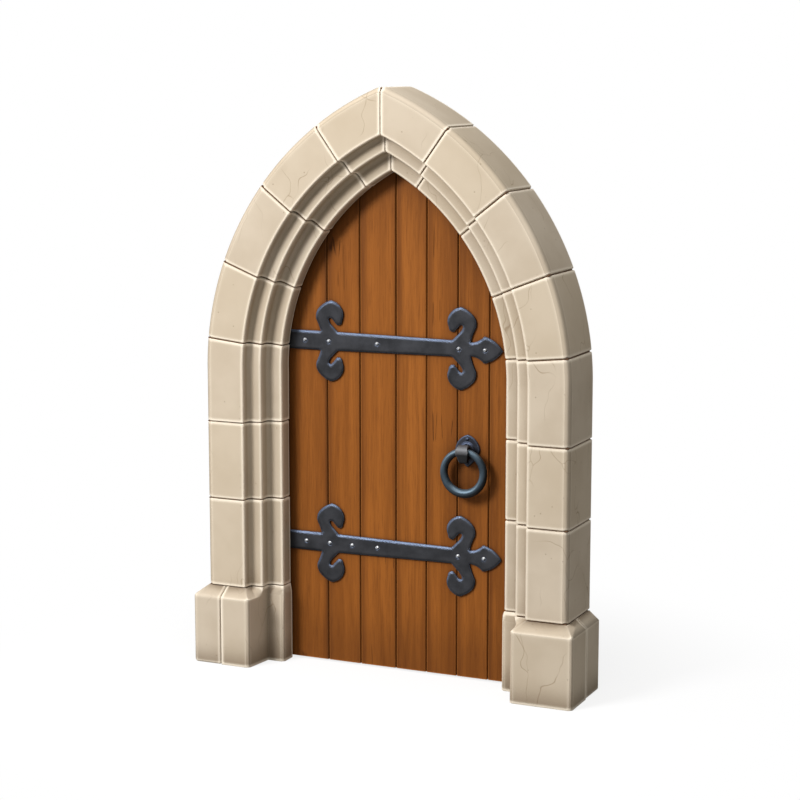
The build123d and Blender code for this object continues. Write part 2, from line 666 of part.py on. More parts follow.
def leaf_pieces():
    """The planks and ledges, bored for every nail and for the bolt of the ring's eye."""
    strap_holes = [bar(x, STRAP_FRONT, REAR, z, NAIL) for z, nails_x in STRAPS.values() for x in nails_x]
    plate_holes = [
        bar(x, PLATE_FRONT, PLANK_FRONT + PLATE_NAIL_DEPTH, z, NAIL) for x, z in plate_nail_places()
    ]
    ledge_holes = [bar(x, PLANK_REAR - LEDGE_NAIL_BITE, LEDGE_REAR, z, NAIL) for x, z in ledge_nail_places()]
    bolt_hole = rod(HANDLE_X, PLATE_FRONT, REAR, HANDLE_Z, BOLT_RADIUS + BOLT_PLAY)
    holes = [*strap_holes, *plate_holes, *ledge_holes, bolt_hole]
    wood = {f"plank_{number}": board for number, board in enumerate(planks(), 1)}
    wood |= {f"ledge_{name}": ledge(z) for name, z in LEDGES.items()}
    wood["ledge_middle"] -= nut_pocket()
    for z, nails_x in STRAPS.values():
        wood["plank_1"] -= strap_housing(z)
    for name, piece in wood.items():
        box = piece.bounding_box()
        wood[name] = piece - [h for h in holes if box.overlaps(h.bounding_box())]
    wood["ledge_nails"] = Compound(children=[ledge_nail(x, z) for x, z in ledge_nail_places()])
    return wood


def handle_pieces():
    """The ring and what holds it."""
    nails = [plate_nail(x, z) for x, z in plate_nail_places()]
    return {
        "handle_plate": handle_plate(),
        "handle_plate_nails": Compound(children=nails),
        "ring_eye": ring_eye(),
        "ring_eye_washer": bolt_washer(),
        "ring_eye_nut": bolt_nut(),
        "ring": ring(),
    }


os.makedirs("parts", exist_ok=True)
for name, piece in {**stone_pieces(), **hinge_pieces(), **leaf_pieces(), **handle_pieces()}.items():
    export_step(piece, f"parts/{name}.step")
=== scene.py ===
# %% [markdown]
# # A pointed stone doorway with a plank door
#
# The real thing is a church-like side door: cut stone in three stepped orders, oak planks behind
# them, and black iron hinges and a ring. The shapes come from the construction model, so they are
# already true to size. This lesson gives each piece the finish that it has in life: dressed stone
# with soft arrises, oiled oak with a running grain, hammered iron that is rubbed bright on its
# edges. It starts by loading that model as a fixed frame.

# %% Load the frame
from math import cos, radians, sin

import bpy
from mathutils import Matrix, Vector


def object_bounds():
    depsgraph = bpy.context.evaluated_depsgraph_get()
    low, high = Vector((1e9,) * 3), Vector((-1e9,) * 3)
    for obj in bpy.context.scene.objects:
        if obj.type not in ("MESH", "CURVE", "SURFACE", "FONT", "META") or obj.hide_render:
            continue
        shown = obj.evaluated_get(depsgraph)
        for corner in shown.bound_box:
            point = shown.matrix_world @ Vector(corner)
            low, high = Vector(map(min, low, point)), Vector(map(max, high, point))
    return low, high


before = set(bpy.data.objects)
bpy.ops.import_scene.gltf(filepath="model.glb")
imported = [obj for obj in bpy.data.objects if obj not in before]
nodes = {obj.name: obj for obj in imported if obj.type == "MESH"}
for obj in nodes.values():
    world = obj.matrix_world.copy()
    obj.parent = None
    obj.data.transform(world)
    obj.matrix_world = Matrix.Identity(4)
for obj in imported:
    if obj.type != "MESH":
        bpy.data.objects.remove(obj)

cad_low, cad_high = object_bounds()
print("pieces:", len(nodes), "size in metres:", [round(side, 3) for side in cad_high - cad_low])

# %% [markdown]
# ## The camera
#
# The photograph was taken from the right of the door and a little above its middle, with a long
# lens, so the sides hardly converge. We could place the camera by eye, but a direction, a distance
# and a point to look at can be measured once and then changed one at a time. That is how it is done
# here.

# %% Place the camera
CAMERA_TARGET = Vector((0.0865, -0.108, 1.1764))
CAMERA_AZIMUTH = 24.4128
CAMERA_ELEVATION = 9.1334
CAMERA_DISTANCE = 8.2568
CAMERA_LENS = 92.94
SENSOR_WIDTH = 36.0
FARTHEST_SEEN = 60.0


def direction(azimuth, elevation):
    """A unit vector from the door, azimuth 0 being its front and 90 its right. Both are in degrees."""
    turn, rise = radians(azimuth), radians(elevation)
    return Vector((sin(turn) * cos(rise), -cos(turn) * cos(rise), sin(rise)))


scene = bpy.context.scene
camera = bpy.data.objects.new("camera", bpy.data.cameras.new("camera"))
scene.collection.objects.link(camera)
camera.data.lens = CAMERA_LENS
camera.data.sensor_width = SENSOR_WIDTH
camera.data.clip_end = FARTHEST_SEEN
towards_camera = direction(CAMERA_AZIMUTH, CAMERA_ELEVATION)
camera.location = CAMERA_TARGET + towards_camera * CAMERA_DISTANCE
camera.rotation_mode = "QUATERNION"
camera.rotation_quaternion = (-towards_camera).to_track_quat("-Z", "Y")
scene.camera = camera
scene.view_settings.view_transform = "Standard"
print("camera at", [round(value, 3) for value in camera.location])

# %% [markdown]
# ## Wiring helpers
#
# A material is a small circuit of nodes. Written out in full, every wire takes a line, and the idea
# gets lost. The helpers below add one node, or one sum, and connect it in a single call. A value
# that is a socket is wired in, and any other value is typed into the socket.

# %% Helpers that add and connect nodes
def feed(tree, socket, value):
    """Wires a socket into another, or types a plain value into it."""
    if isinstance(value, bpy.types.NodeSocket):
        tree.links.new(value, socket)
    else:
        socket.default_value = value


def add(tree, kind, values=None, **settings):
    """Adds a node with its settings, and feeds the inputs that are named."""
    made = tree.nodes.new(kind)
    for name, setting in settings.items():
        setattr(made, name, setting)
    for name, value in (values or {}).items():
        feed(tree, made.inputs[name], value)
    return made


def calc(tree, operation, *values):
    """One sum on numbers."""
    made = add(tree, "ShaderNodeMath", operation=operation)
    for socket, value in zip(made.inputs, values):
        feed(tree, socket, value)
    return made.outputs[0]


def vector_calc(tree, operation, *values):
    """One sum on vectors."""
    made = add(tree, "ShaderNodeVectorMath", operation=operation)
    for socket, value in zip(made.inputs, values):
        feed(tree, socket, value)
    return made


def ease(tree, value, low, high):
    """0 below low, 1 above high, and a smooth change between them."""
    made = add(tree, "ShaderNodeMapRange", interpolation_type="SMOOTHSTEP")
    feed(tree, made.inputs["Value"], value)
    feed(tree, made.inputs["From Min"], low)
    feed(tree, made.inputs["From Max"], high)
    return made.outputs["Result"]


# The mix node has a set of sockets for each kind of value, so its colour sockets go by number
MIX_AMOUNT, MIX_FIRST, MIX_SECOND, MIX_RESULT = 0, 6, 7, 2


def tint(tree, amount, first, second):
    """Two colours mixed by amount."""
    made = add(tree, "ShaderNodeMix", data_type="RGBA")
    for index, value in ((MIX_AMOUNT, amount), (MIX_FIRST, first), (MIX_SECOND, second)):
        feed(tree, made.inputs[index], value)
    return made.outputs[MIX_RESULT]


def layer(tree, colour, *coats):
    """Paints coats over a colour, each given as its mask, its strength and its own colour."""
    for mask, strength, over in coats:
        colour = tint(tree, calc(tree, "MULTIPLY", mask, strength), colour, over)
    return colour


def noise(tree, where, scale, detail=4.0, roughness=0.55):
    """Cloudy noise from 0 to 1."""
    values = {"Vector": where, "Scale": scale, "Detail": detail, "Roughness": roughness}
    return add(tree, "ShaderNodeTexNoise", values)


def paint(red, green, blue):
    """A colour given as it looks on a screen, 0 to 255, as the light values that nodes work in."""
    def linear(value):
        value /= 255
        return value / 12.92 if value <= 0.04045 else ((value + 0.055) / 1.055) ** 2.4
    return (linear(red), linear(green), linear(blue), 1.0)


print("a mid grey on screen is", round(paint(128, 128, 128)[0], 3), "in light")

# %% [markdown]
# ## Groups that several finishes share
#
# Stone, oak and iron all show wear on their edges and dirt in their corners. Each could find its
# edges itself, but a node group does it once, and each finish sets its own width. The next helper
# makes an empty group with named sockets, so that the groups read like small tools.

# %% A helper for groups
FLOAT, VECTOR = "NodeSocketFloat", "NodeSocketVector"


def start_group(name, inputs, outputs):
    """A node group. Its inputs are given as (name, kind, value), its outputs as (name, kind)."""
    group = bpy.data.node_groups.new(name, "ShaderNodeTree")
    for label, kind, value in inputs:
        socket = group.interface.new_socket(name=label, in_out="INPUT", socket_type=kind)
        if value is not None:
            socket.default_value = value
    for label, kind in outputs:
        group.interface.new_socket(name=label, in_out="OUTPUT", socket_type=kind)
    return group, group.nodes.new("NodeGroupInput"), group.nodes.new("NodeGroupOutput")


def place(tree, group, values=None):
    """Puts a group into a material and feeds its inputs."""
    made = tree.nodes.new("ShaderNodeGroup")
    made.node_tree = group
    for name, value in (values or {}).items():
        feed(tree, made.inputs[name], value)
    return made


# %% [markdown]
# ## Arrises and corners
#
# On real stone and iron no edge is knife sharp: handling and weather round it, and it catches the
# light. The Bevel node shades an edge as if it were rounded. To paint a light rim, part wear and
# part painted highlight, we need to know how near an edge is, and ambient occlusion tells: looking
# into the piece, a point by an edge soon sees the other side. Looking outwards, it finds the inner
# corners, where the finishes paint shade.

# %% Arris group
BEVEL_RAYS, NEARBY_RAYS = 6, 8


def arris_group():
    group, entry, leave = start_group(
        "arris",
        [("Round", FLOAT, 0.004), ("Rim", FLOAT, 0.01), ("Reach", FLOAT, 0.04)],
        [("Edge", FLOAT), ("Corner shade", FLOAT), ("Normal", VECTOR)],
    )
    rounded = add(group, "ShaderNodeBevel", {"Radius": entry.outputs["Round"]}, samples=BEVEL_RAYS)
    within = add(group, "ShaderNodeAmbientOcclusion", {"Distance": entry.outputs["Rim"]},
                 samples=NEARBY_RAYS, inside=True, only_local=True)
    # Nearness to an edge, which the finishes paint lighter, as part wear and part painted highlight
    edge = ease(group, within.outputs["AO"], 0.97, 0.68)
    # The corner mask: inner corners and recesses, where the finishes paint shade
    nearby = add(group, "ShaderNodeAmbientOcclusion", {"Distance": entry.outputs["Reach"]},
                 samples=NEARBY_RAYS)
    corner = ease(group, nearby.outputs["AO"], 0.95, 0.25)
    feed(group, leave.inputs["Edge"], edge)
    feed(group, leave.inputs["Corner shade"], corner)
    feed(group, leave.inputs["Normal"], rounded.outputs[0])
    return group


ARRIS = arris_group()
print("group", ARRIS.name, "with", len(ARRIS.nodes), "nodes")

# %% [markdown]
# ## Stone
#
# The surround is a pale, close-grained limestone. Seen near, it has a sandy grain, soft warm
# clouds, a few pits and some hairline veins that wander up the face. Each is a pattern in space, so
# it runs round the corners as it does in a real block. A number that differs from block to block
# shifts the tone a little, as in stones from different beds of one quarry. The rims are painted
# light, part wear and part painted highlight, and the corners and recesses get painted shade. The
# rims are narrower on the back, which no hand or cart rubs. A wide rim there would also find the
# sockets of the hinge hooks, which lie just under that face, and paint them light.

# %% Stone pattern group
STONES_APART = 9.0
VEIN_CELLS, PIT_CELLS = 5.6, 42.0
PITTED_SHARE = 0.1


def stone_group():
    group, entry, leave = start_group(
        "stone bed",
        [("Where", VECTOR, None), ("Block", FLOAT, 0.0), ("Vein width", FLOAT, 0.005)],
        [("Cloud", FLOAT), ("Grain", FLOAT), ("Pit", FLOAT), ("Vein", FLOAT), ("Height", FLOAT)],
    )
    apart = calc(group, "MULTIPLY", entry.outputs["Block"], STONES_APART)
    shift = add(group, "ShaderNodeCombineXYZ", {"Y": apart})
    where = vector_calc(group, "ADD", entry.outputs["Where"], shift.outputs[0]).outputs[0]
    cloud = noise(group, where, 4.5, 3.0).outputs[0]
    grain = noise(group, where, 260.0, 3.0, 0.7).outputs[0]

    # Hairline veins: the walls between large cells, pushed about by noise, and shown only here and there
    tall = vector_calc(group, "MULTIPLY", where, (1.0, 1.0, 0.30)).outputs[0]
    sway = noise(group, where, 6.5, 1.5).outputs["Color"]
    push = vector_calc(group, "MULTIPLY", sway, (0.15, 0.15, 0.05)).outputs[0]
    bent = vector_calc(group, "ADD", tall, push).outputs[0]
    walls = add(group, "ShaderNodeTexVoronoi", {"Vector": bent, "Scale": VEIN_CELLS},
                feature="DISTANCE_TO_EDGE")
    line = ease(group, walls.outputs["Distance"], entry.outputs["Vein width"], 0.0)
    shown = ease(group, noise(group, where, 4.2, 1.0).outputs[0], 0.46, 0.56)
    vein = calc(group, "MULTIPLY", line, shown)

    # Pits: small cells, of which one in ten is a hole
    cells = add(group, "ShaderNodeTexVoronoi", {"Vector": where, "Scale": PIT_CELLS})
    hole = ease(group, cells.outputs["Distance"], 0.16, 0.06)
    lot = add(group, "ShaderNodeSeparateColor", {"Color": cells.outputs["Color"]}).outputs[0]
    chosen = calc(group, "GREATER_THAN", lot, 1 - PITTED_SHARE)
    pit = calc(group, "MULTIPLY", hole, chosen)

    height = calc(group, "MULTIPLY_ADD", grain, 0.22, calc(group, "MULTIPLY", cloud, 0.5))
    height = calc(group, "SUBTRACT", height, calc(group, "MULTIPLY", vein, 0.35))
    height = calc(group, "SUBTRACT", height, calc(group, "MULTIPLY", pit, 0.8))
    results = {"Cloud": cloud, "Grain": grain, "Pit": pit, "Vein": vein, "Height": height}
    for label, value in results.items():
        feed(group, leave.inputs[label], value)
    return group


STONE_BED = stone_group()
print("group", STONE_BED.name, "with", len(STONE_BED.nodes), "nodes")

# %% Start a material
def start_material(name):
    """An empty material, its tree and shader, the places on the piece, and the piece's own number."""
    material = bpy.data.materials.new(name)
    material.use_nodes = True
    tree = material.node_tree
    tree.nodes.clear()
    output = tree.nodes.new("ShaderNodeOutputMaterial")
    shader = tree.nodes.new("ShaderNodeBsdfPrincipled")
    tree.links.new(shader.outputs[0], output.inputs["Surface"])
    places = tree.nodes.new("ShaderNodeTexCoord").outputs
    own_number = tree.nodes.new("ShaderNodeObjectInfo").outputs["Random"]
    return material, tree, shader, places, own_number


def bump(tree, height, normal, depth, strength):
    """Relief of this depth in metres on top of a normal."""
    values = {"Height": height, "Normal": normal, "Distance": depth, "Strength": strength}
    return add(tree, "ShaderNodeBump", values).outputs[0]


# %% Stone material
FRONT_RIM, BACK_RIM = 0.017, 0.005


def stone_material():
    """Dressed stone, with rims that are narrower on the faces that look back, towards the wall."""
    material, tree, shader, places, own_number = start_material("dressed stone")
    values = {"Where": places["Object"], "Block": own_number, "Vein width": 0.007}
    bed = place(tree, STONE_BED, values).outputs
    normal = add(tree, "ShaderNodeNewGeometry").outputs["Normal"]
    facing = add(tree, "ShaderNodeSeparateXYZ", {"Vector": normal}).outputs
    backward = ease(tree, facing["Y"], 0.5, 0.9)
    rim = calc(tree, "MULTIPLY_ADD", backward, BACK_RIM - FRONT_RIM, FRONT_RIM)
    arris = place(tree, ARRIS, {"Round": 0.006, "Rim": rim, "Reach": 0.13}).outputs
    clouds = ease(tree, bed["Cloud"], 0.3, 0.7)
    colour = layer(
        tree, tint(tree, clouds, paint(191, 177, 157), paint(203, 190, 171)),
        (own_number, 0.4, paint(196, 180, 154)),
        (bed["Grain"], 0.14, paint(168, 152, 128)),
        (bed["Vein"], 0.55, paint(134, 112, 84)),
        (bed["Pit"], 0.5, paint(120, 100, 76)),
        # Painted shade in the corners and recesses, then a light rim that is part wear and part painted
        # highlight
        (calc(tree, "POWER", arris["Corner shade"], 0.75), 0.85, paint(104, 84, 64)),
        (arris["Edge"], 0.82, paint(247, 236, 217)),
    )
    feed(tree, shader.inputs["Base Color"], colour)
    shader.inputs["Roughness"].default_value = 0.8
    shader.inputs["Specular IOR Level"].default_value = 0.12
    feed(tree, shader.inputs["Normal"], bump(tree, bed["Height"], arris["Normal"], 0.0025, 0.35))
    return material


STONE = stone_material()
print("material", STONE.name)

# %% [markdown]
# ## Mortar and lead
#
# The beds between the stones are raked back and have gone dark with damp, which draws the thin
# brown lines that tell one block from the next. The hinge hooks are set in lead, poured in hot,
# which dulls to a soft grey skin. Both are hardly seen, so a cloud of tone and a little relief are
# enough.

# %% Mortar and lead materials
def plain_skin(name, dark, light, roughness, metallic, scale, depth):
    """A dull skin whose tone and relief wander."""
    material, tree, shader, places, _ = start_material(name)
    cloud = noise(tree, places["Object"], scale, 5.0).outputs[0]
    arris = place(tree, ARRIS, {"Round": 0.002, "Rim": 0.003, "Reach": 0.02}).outputs
    ground = tint(tree, ease(tree, cloud, 0.3, 0.7), dark, light)
    # The edges are painted lighter: a painted highlight
    feed(tree, shader.inputs["Base Color"], layer(tree, ground, (arris["Edge"], 0.4, light)))
    feed(tree, shader.inputs["Normal"], bump(tree, cloud, arris["Normal"], depth, 0.5))
    shader.inputs["Roughness"].default_value = roughness
    shader.inputs["Metallic"].default_value = metallic
    return material


MORTAR = plain_skin("raked mortar", paint(70, 46, 28), paint(104, 74, 48),
                    roughness=0.95, metallic=0.0, scale=90.0, depth=0.002)
LEAD = plain_skin("poured lead", paint(92, 94, 98), paint(136, 138, 142),
                  roughness=0.55, metallic=0.8, scale=60.0, depth=0.001)
print("materials", MORTAR.name, "and", LEAD.name)

# %% [markdown]
# ## Oak
#
# The planks are quartered oak, oiled to an orange brown. The grain runs up each plank: broad bands
# where the tree grew faster, fine fibres between them, and here and there a drying split.
# Stretching a noise along the plank gives all three at different scales. The ledges on the back are
# the same wood with the grain laid across, so the pattern is a group that is told which way the
# plank runs.

# %% Oak grain group
PLANKS_APART = 37.0


def grain_group():
    group, entry, leave = start_group(
        "oak grain",
        [("Where", VECTOR, None), ("Stretch", VECTOR, (1.0, 1.0, 1.0)), ("Plank", FLOAT, 0.0)],
        [("Band", FLOAT), ("Fibre", FLOAT), ("Split", FLOAT), ("Height", FLOAT)],
    )
    apart = calc(group, "MULTIPLY", entry.outputs["Plank"], PLANKS_APART)
    shift = add(group, "ShaderNodeCombineXYZ", {"X": apart, "Y": apart, "Z": apart}).outputs[0]
    moved = vector_calc(group, "ADD", entry.outputs["Where"], shift).outputs[0]
    along = vector_calc(group, "MULTIPLY", moved, entry.outputs["Stretch"]).outputs[0]
    wander = noise(group, along, 5.0, 2.0)
    bands = noise(group, along, 26.0, 5.0, 0.6)
    feed(group, bands.inputs["Distortion"], 0.8)
    fibre = noise(group, along, 210.0, 3.0, 0.65).outputs[0]
    narrow = calc(group, "MULTIPLY", bands.outputs[0], 0.62)
    band = calc(group, "MULTIPLY_ADD", wander.outputs[0], 0.45, narrow)
    walls = add(group, "ShaderNodeTexVoronoi", {"Vector": along, "Scale": 17.0},
                feature="DISTANCE_TO_EDGE")
    line = ease(group, walls.outputs["Distance"], 0.022, 0.0)
    shown = ease(group, noise(group, moved, 3.4, 1.0).outputs[0], 0.66, 0.70)
    split = calc(group, "MULTIPLY", line, shown)
    height = calc(group, "MULTIPLY", calc(group, "ADD", fibre, band), 0.5)
    height = calc(group, "SUBTRACT", height, split)
    for label, value in {"Band": band, "Fibre": fibre, "Split": split, "Height": height}.items():
        feed(group, leave.inputs[label], value)
    return group


OAK_GRAIN = grain_group()
print("group", OAK_GRAIN.name, "with", len(OAK_GRAIN.nodes), "nodes")

# %% [markdown]
# The sides of a plank are painted darker than its middle, a painted shade by the gaps, and its foot
# is darker too. Generated coordinates run from 0 to 1 across each piece, so the distance from the
# nearest side needs no measuring. Near the stone the oak is darker too, a painted shade that the
# corner mask with a long reach finds. A dark strip by the lap is painted shade, and a light strip on
# the first edge and the light rims are painted highlight.

# %% Oak material
ALONG_X, ALONG_Z = (0.045, 1.0, 1.0), (1.0, 1.0, 0.045)
X, Z = 0, 2


def oak_material(name, stretch, across, upright):
    """Oak whose grain runs along the axis that stretch shortens. across is the axis of its width."""
    material, tree, shader, places, own_number = start_material(name)
    values = {"Where": places["Object"], "Stretch": stretch, "Plank": own_number}
    grain = place(tree, OAK_GRAIN, values).outputs
    arris = place(tree, ARRIS, {"Round": 0.003, "Rim": 0.006, "Reach": 0.30}).outputs
    own_place = add(tree, "ShaderNodeSeparateXYZ", {"Vector": places["Generated"]}).outputs
    off_middle = calc(tree, "ABSOLUTE", calc(tree, "SUBTRACT", own_place[across], 0.5))
    bands = ease(tree, grain["Band"], 0.34, 0.68)
    colour = layer(
        tree, tint(tree, bands, paint(115, 65, 22), paint(157, 94, 37)),
        (own_number, 0.35, paint(136, 78, 26)),
        (ease(tree, grain["Fibre"], 0.45, 0.75), 0.45, paint(104, 57, 22)),
        # Darker towards the sides of the plank: a painted shade by the gaps
        (ease(tree, off_middle, 0.26, 0.52), 0.66, paint(84, 44, 16)),
    )
    painted_shade = calc(tree, "POWER", arris["Corner shade"], 0.5)
    if upright:
        # Painted shade by the lap under the next plank, a painted highlight on the first edge, and a
        # little darker at the foot
        colour = layer(
            tree, colour,
            (ease(tree, own_place[X], 0.885, 0.93), 0.75, paint(44, 21, 7)),
            (ease(tree, own_place[X], 0.035, 0.01), 0.55, paint(186, 116, 52)),
            (ease(tree, own_place[Z], 0.12, 0.0), 0.2, paint(96, 50, 20)),
        )
        # The painted shade from the corner mask finds the floor too, which would darken the foot a second
        # time, so it fades there
        painted_shade = calc(tree, "MULTIPLY", painted_shade, ease(tree, own_place[Z], -0.12, 0.2))
    # Painted shade near the stone and in the corners, and a painted highlight on the edges; the splits are
    # the oak's own
    colour = layer(
        tree, colour,
        (grain["Split"], 0.85, paint(52, 26, 10)),
        (painted_shade, 0.72, paint(56, 28, 8)),
        (arris["Edge"], 0.5, paint(198, 124, 56)),
    )
    feed(tree, shader.inputs["Base Color"], colour)
    rough = calc(tree, "MULTIPLY_ADD", grain["Fibre"], 0.25, 0.42)
    feed(tree, shader.inputs["Roughness"], rough)
    shader.inputs["Specular IOR Level"].default_value = 0.1
    feed(tree, shader.inputs["Normal"], bump(tree, grain["Height"], arris["Normal"], 0.002, 0.45))
    return material


PLANK_OAK = oak_material("oak plank", ALONG_Z, across=X, upright=True)
LEDGE_OAK = oak_material("oak ledge", ALONG_X, across=Z, upright=False)
print("materials", PLANK_OAK.name, "and", LEDGE_OAK.name)

# %% [markdown]
# ## Iron
#
# The hinges, nails and ring are wrought iron, blackened in oil. A hammer leaves shallow overlapping
# dents, and hands and weather rub the edges to a blue grey. Dents are smooth cells, so a Voronoi
# texture with soft walls stands for them, and the arris group brings out the edges: their blue grey
# is part wear and part painted highlight, and the inner corners get painted shade.

# %% Hammer marks group
def hammer_group():
    group, entry, leave = start_group(
        "hammer marks",
        [("Where", VECTOR, None), ("Dents per metre", FLOAT, 60.0)],
        [("Tone", FLOAT), ("Height", FLOAT)],
    )
    where = entry.outputs["Where"]
    values = {"Vector": where, "Scale": entry.outputs["Dents per metre"], "Smoothness": 1.0}
    dents = add(group, "ShaderNodeTexVoronoi", values, feature="SMOOTH_F1").outputs["Distance"]
    scale = noise(group, where, 240.0, 3.0, 0.6).outputs[0]
    cloud = noise(group, where, 14.0, 3.0).outputs[0]
    tone = calc(group, "MULTIPLY_ADD", scale, 0.3, calc(group, "MULTIPLY", cloud, 0.7))
    height = calc(group, "MULTIPLY_ADD", scale, 0.12, calc(group, "MULTIPLY", dents, 0.9))
    feed(group, leave.inputs["Tone"], tone)
    feed(group, leave.inputs["Height"], height)
    return group


HAMMER = hammer_group()
print("group", HAMMER.name, "with", len(HAMMER.nodes), "nodes")

# %% [markdown]
# A surface that turns up and a little to the hinge side gets a painted highlight, and one that turns
# down gets painted shade, as if a lamp stood up on that side. How far a surface turns towards that
# direction tells one from the other. The straps, the plate, the eye, the ring and the nails each have
# their own tone and polish.

# %% Iron material
# The direction from which the painted highlight falls: up and a little to the hinge side
PAINTED_LIGHT_FROM = (-0.45, 0.0, 0.89)


def iron_material(name, dark, light, wear_and_highlight, roughness, dents, round_edge, rim, edge_wear_and_highlight, painted_top_highlight):
    """Blackened iron, from dark to light, with painted shade in its corners and on what faces down.
    wear_and_highlight colours its rims by edge_wear_and_highlight, part wear and part painted highlight,
    and is a painted highlight on what faces up by painted_top_highlight.
    """
    material, tree, shader, places, _ = start_material(name)
    hammer = place(tree, HAMMER, {"Where": places["Object"], "Dents per metre": dents}).outputs
    arris = place(tree, ARRIS, {"Round": round_edge, "Rim": rim, "Reach": 0.03}).outputs
    facing = vector_calc(tree, "DOT_PRODUCT", arris["Normal"], PAINTED_LIGHT_FROM).outputs["Value"]
    colour = layer(
        tree, tint(tree, ease(tree, hammer["Tone"], 0.3, 0.7), dark, light),
        # Painted shade in the corners, light rims of wear and painted highlight, a painted highlight on
        # what faces up, and painted shade on what faces down
        (arris["Corner shade"], 0.8, paint(16, 16, 18)),
        (arris["Edge"], edge_wear_and_highlight, wear_and_highlight),
        (ease(tree, facing, 0.04, 0.5), painted_top_highlight, wear_and_highlight),
        (ease(tree, facing, -0.04, -0.45), 0.9, paint(8, 8, 9)),
    )
    feed(tree, shader.inputs["Base Color"], colour)
    shader.inputs["Metallic"].default_value = 0.75
    feed(tree, shader.inputs["Roughness"], calc(tree, "MULTIPLY_ADD", hammer["Tone"], 0.22, roughness))
    feed(tree, shader.inputs["Normal"], bump(tree, hammer["Height"], arris["Normal"], 0.0012, 0.35))
    return material


IRON = iron_material(
    "black iron", paint(34, 35, 38), paint(54, 55, 59), paint(118, 134, 162),
    roughness=0.36, dents=55.0, round_edge=0.018, rim=0.004, edge_wear_and_highlight=0.2, painted_top_highlight=0.9)
HANDLE_IRON = iron_material(
    "handle iron", paint(34, 36, 44), paint(54, 57, 66), paint(112, 128, 160),
    roughness=0.42, dents=60.0, round_edge=0.005, rim=0.004, edge_wear_and_highlight=0.45, painted_top_highlight=0.35)
EYE_IRON = iron_material(
    "worn iron", paint(56, 56, 58), paint(90, 90, 92), paint(126, 128, 132),
    roughness=0.5, dents=60.0, round_edge=0.004, rim=0.004, edge_wear_and_highlight=0.4, painted_top_highlight=0.35)
RING_IRON = iron_material(
    "ring iron", paint(36, 46, 54), paint(54, 68, 78), paint(112, 132, 146),
    roughness=0.42, dents=45.0, round_edge=0.004, rim=0.004, edge_wear_and_highlight=0.1, painted_top_highlight=0.55)
# The nail heads are painted much lighter than the straps, with near-white rims and tops: painted glints
NAIL_IRON = iron_material(
    "nail iron", paint(100, 102, 106), paint(150, 154, 160), paint(236, 239, 243),
    roughness=0.24, dents=120.0, round_edge=0.002, rim=0.003, edge_wear_and_highlight=0.9, painted_top_highlight=0.8)
IRONS = (IRON, HANDLE_IRON, EYE_IRON, RING_IRON, NAIL_IRON)
print("materials", ", ".join(item.name for item in IRONS))

# %% [markdown]
# ## Give every piece its finish
#
# Each piece of the frame already names the kind of stuff it is made of by its own name. A short
# table from the start of a name to a finish covers them all, and the longest start that fits wins.
# A name that fits nothing would stop the script, so none is missed.

# %% Assign the finishes
FINISHES = {
    "plinth_stone": STONE, "jamb_stone": STONE, "arch_stone": STONE,
    "mortar": MORTAR, "pintle_lead": LEAD,
    "plank": PLANK_OAK, "ledge": LEDGE_OAK,
    "pintle": IRON, "strap_hinge": IRON, "strap_nails": NAIL_IRON, "ledge_nails": NAIL_IRON,
    "handle_plate": HANDLE_IRON, "ring_eye": EYE_IRON, "ring": RING_IRON,
}
for name, piece in nodes.items():
    start = max((key for key in FINISHES if name.startswith(key)), key=len)
    piece.data.materials.clear()
    piece.data.materials.append(FINISHES[start])
print("finished pieces:", len(nodes))

# %% [markdown]
# ## Real edges on the iron and the stone
#
# The front edges of the straps and the plate are hammered over, and their highlight is the
# brightest line on the door. Shading alone goes flat when the light grazes it, so these edges are
# cut into the mesh by modifiers: the triangles of each flat face are joined first, because a bevel
# runs evenly only along whole edges. The mason's arrises are worn round in the same way.

# %% Bevel the iron and the stone
SAME_POINT = 0.00001
FLAT_WITHIN = 0.6
LARGE_FACES_FIRST = 80


def soften(piece, width, segments, sharper_than):
    """Rounds every edge of a piece that turns by more than sharper_than degrees. width is in metres."""
    weld = piece.modifiers.new("join corners", "WELD")
    weld.merge_threshold = SAME_POINT
    flat = piece.modifiers.new("join flat faces", "DECIMATE")
    flat.decimate_type = "DISSOLVE"
    flat.angle_limit = radians(FLAT_WITHIN)
    edge = piece.modifiers.new("round edges", "BEVEL")
    edge.limit_method = "ANGLE"
    edge.angle_limit = radians(sharper_than)
    edge.width = width
    edge.segments = segments
    shade = piece.modifiers.new("even shading", "WEIGHTED_NORMAL")
    shade.weight = LARGE_FACES_FIRST


# Width in metres, segments, and the sharpest turn in degrees that is left alone
SOFTENED = {
    "strap_hinge": (0.0035, 3, 32), "handle_plate": (0.0025, 2, 32), "ring_eye": (0.0025, 2, 32),
    "jamb_stone": (0.006, 3, 50), "arch_stone": (0.006, 3, 50), "plinth_stone": (0.008, 3, 50),
}
LEFT_SHARP = ("handle_plate_nails", "ring_eye_nut", "ring_eye_washer")
for name, piece in nodes.items():
    for start, how in SOFTENED.items():
        if name.startswith(start) and name not in LEFT_SHARP:
            soften(piece, *how)
print("softened pieces:", sum(1 for piece in nodes.values() if piece.modifiers))

# %% [markdown]
# ## The stage
#
# The photograph stands on plain white. The floor here is a pale sheet that is part lit and part
# glowing for the camera, so it reads as white and still keeps the soft shadow that ties the door to
# the ground. The sky does the same: white to the camera and to shiny metal, and a softer light on
# everything else. Away from the door the floor turns into pure glow, so that no line shows where it
# ends.

# %% Floor
def through_lens(tree):
    """1 for rays from the camera and for what metal and glass mirror, else 0."""
    path = tree.nodes.new("ShaderNodeLightPath").outputs
    return calc(tree, "MAXIMUM", calc(tree, "MAXIMUM", path["Is Camera Ray"], path["Is Glossy Ray"]),
                path["Is Transmission Ray"])


